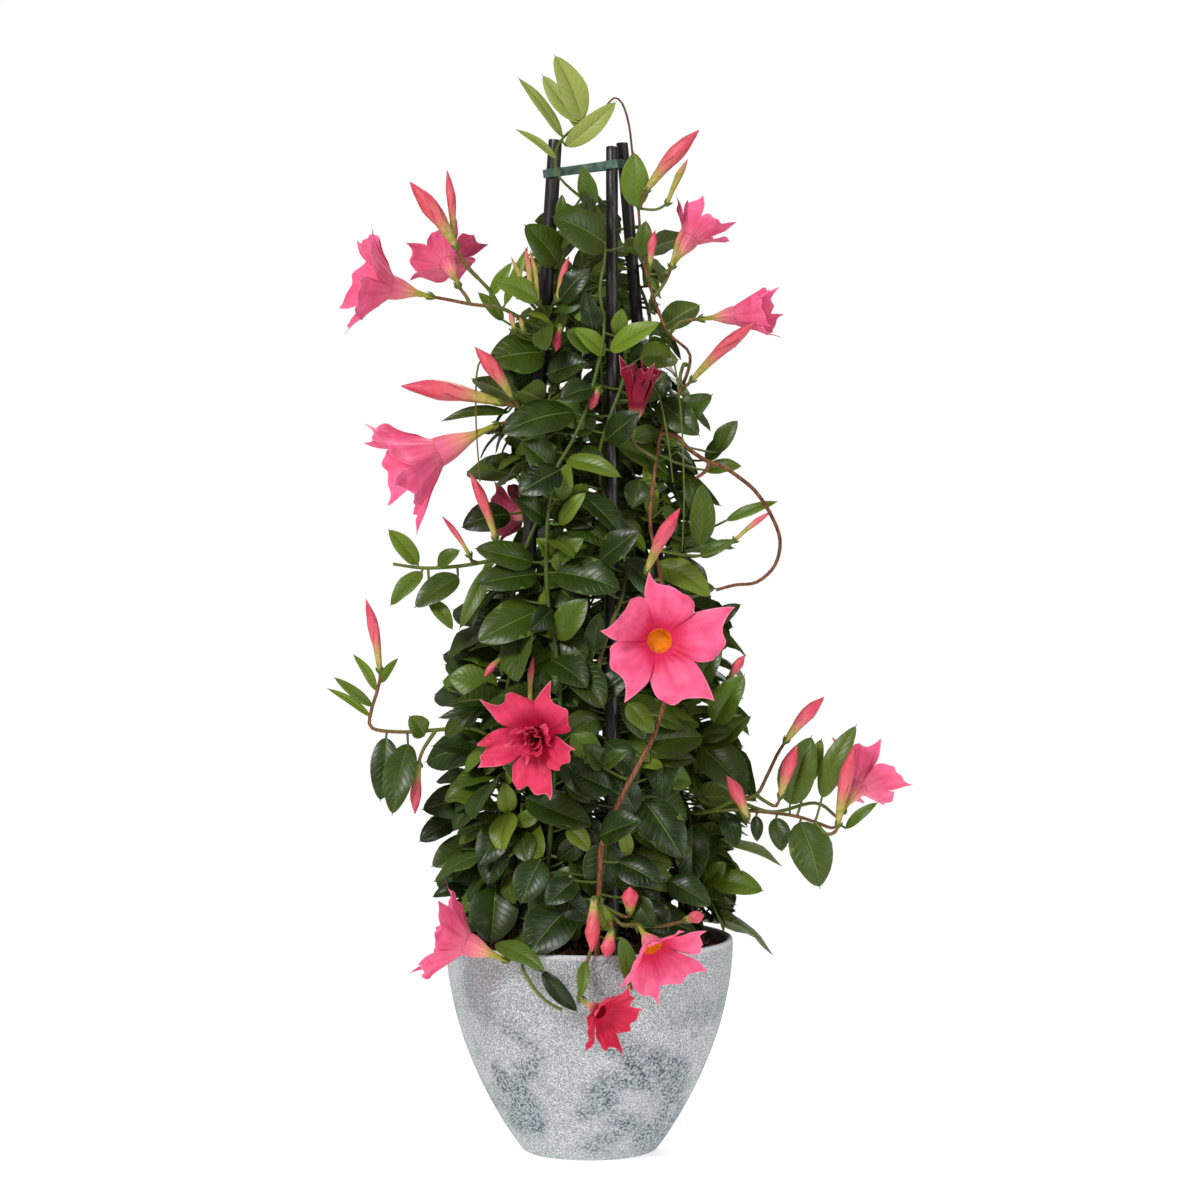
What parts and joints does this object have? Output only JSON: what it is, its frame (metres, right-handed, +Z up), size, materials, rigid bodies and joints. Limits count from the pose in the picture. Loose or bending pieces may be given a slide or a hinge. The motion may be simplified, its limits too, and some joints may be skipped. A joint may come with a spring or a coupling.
{
  "type": "potted mandevilla plant",
  "caption": "Climbing mandevilla with pink trumpet flowers and glossy leaves, twined up a cane pyramid tied by a clip, in a round tapered stone-look pot.",
  "frame": {"origin": "centre of the pot's flat underside", "axes": "+Z up the plant, -Y towards the plant's front, +X to its right seen from the front"},
  "size_m": [0.4304, 0.2791, 0.7923],
  "materials": {
    "pot": "matt stone-look with fine speckle and darker patches",
    "soil": "moist bark and peat mix",
    "cane": "satin, near black",
    "clip": "satin grey-green",
    "foliage": "glossy leaf with paler veins",
    "woody_stem": "smooth young bark",
    "petal": "soft satin petal",
    "petal_rose": "soft satin petal, deeper rose",
    "bud": "furled petal with a green base"
  },
  "bodies": {
    "root": {"pot": "pot", "soil": "soil", "cane_left": "cane", "cane_front": "cane", "cane_right": "cane", "clip": "clip", "vine_left_a": "foliage", "vine_left_b": "foliage", "vine_front": "foliage", "vine_right_a": "foliage", "vine_right_b": "foliage", "vine_back_left": "foliage", "vine_back": "foliage", "vine_back_right": "foliage", "vine_middle": "foliage", "vine_runner": "foliage", "branch_high_left": "foliage", "branch_mid_left": "foliage", "sprig_left": "foliage", "sprig_low_left": "foliage", "tendril": "woody_stem", "spray_right": "foliage", "sprig_base_left": "foliage", "sprig_base_front": "foliage", "bloom_high_left": "petal", "bloom_high_left_back": "petal", "bloom_high_right_a": "petal", "bloom_high_right_b": "petal", "bloom_mid_left": "petal", "bloom_behind_leaf": "petal", "bloom_centre": "petal", "bloom_centre_left": "petal_rose", "bloom_spray": "petal", "bloom_base_left": "petal", "bloom_base_right": "petal", "bloom_base_drop": "petal_rose", "bloom_wilted": "petal_rose", "bud_high_left_a": "bud", "bud_high_left_b": "bud", "bud_high_right_a": "bud", "bud_high_right_long": "bud", "bud_high_right_c": "bud", "bud_mid_left_a": "bud", "bud_mid_left_b": "bud", "bud_left_a": "bud", "bud_left_b": "bud", "bud_low_left_a": "bud", "bud_low_left_b": "bud", "bud_centre": "bud", "bud_spray_a": "bud", "bud_spray_b": "bud", "bud_spray_c": "bud", "bud_spray_d": "bud", "bud_base_a": "bud", "bud_base_b": "bud", "bud_base_c": "bud", "bud_right": "bud"}
  },
  "joints": []
}
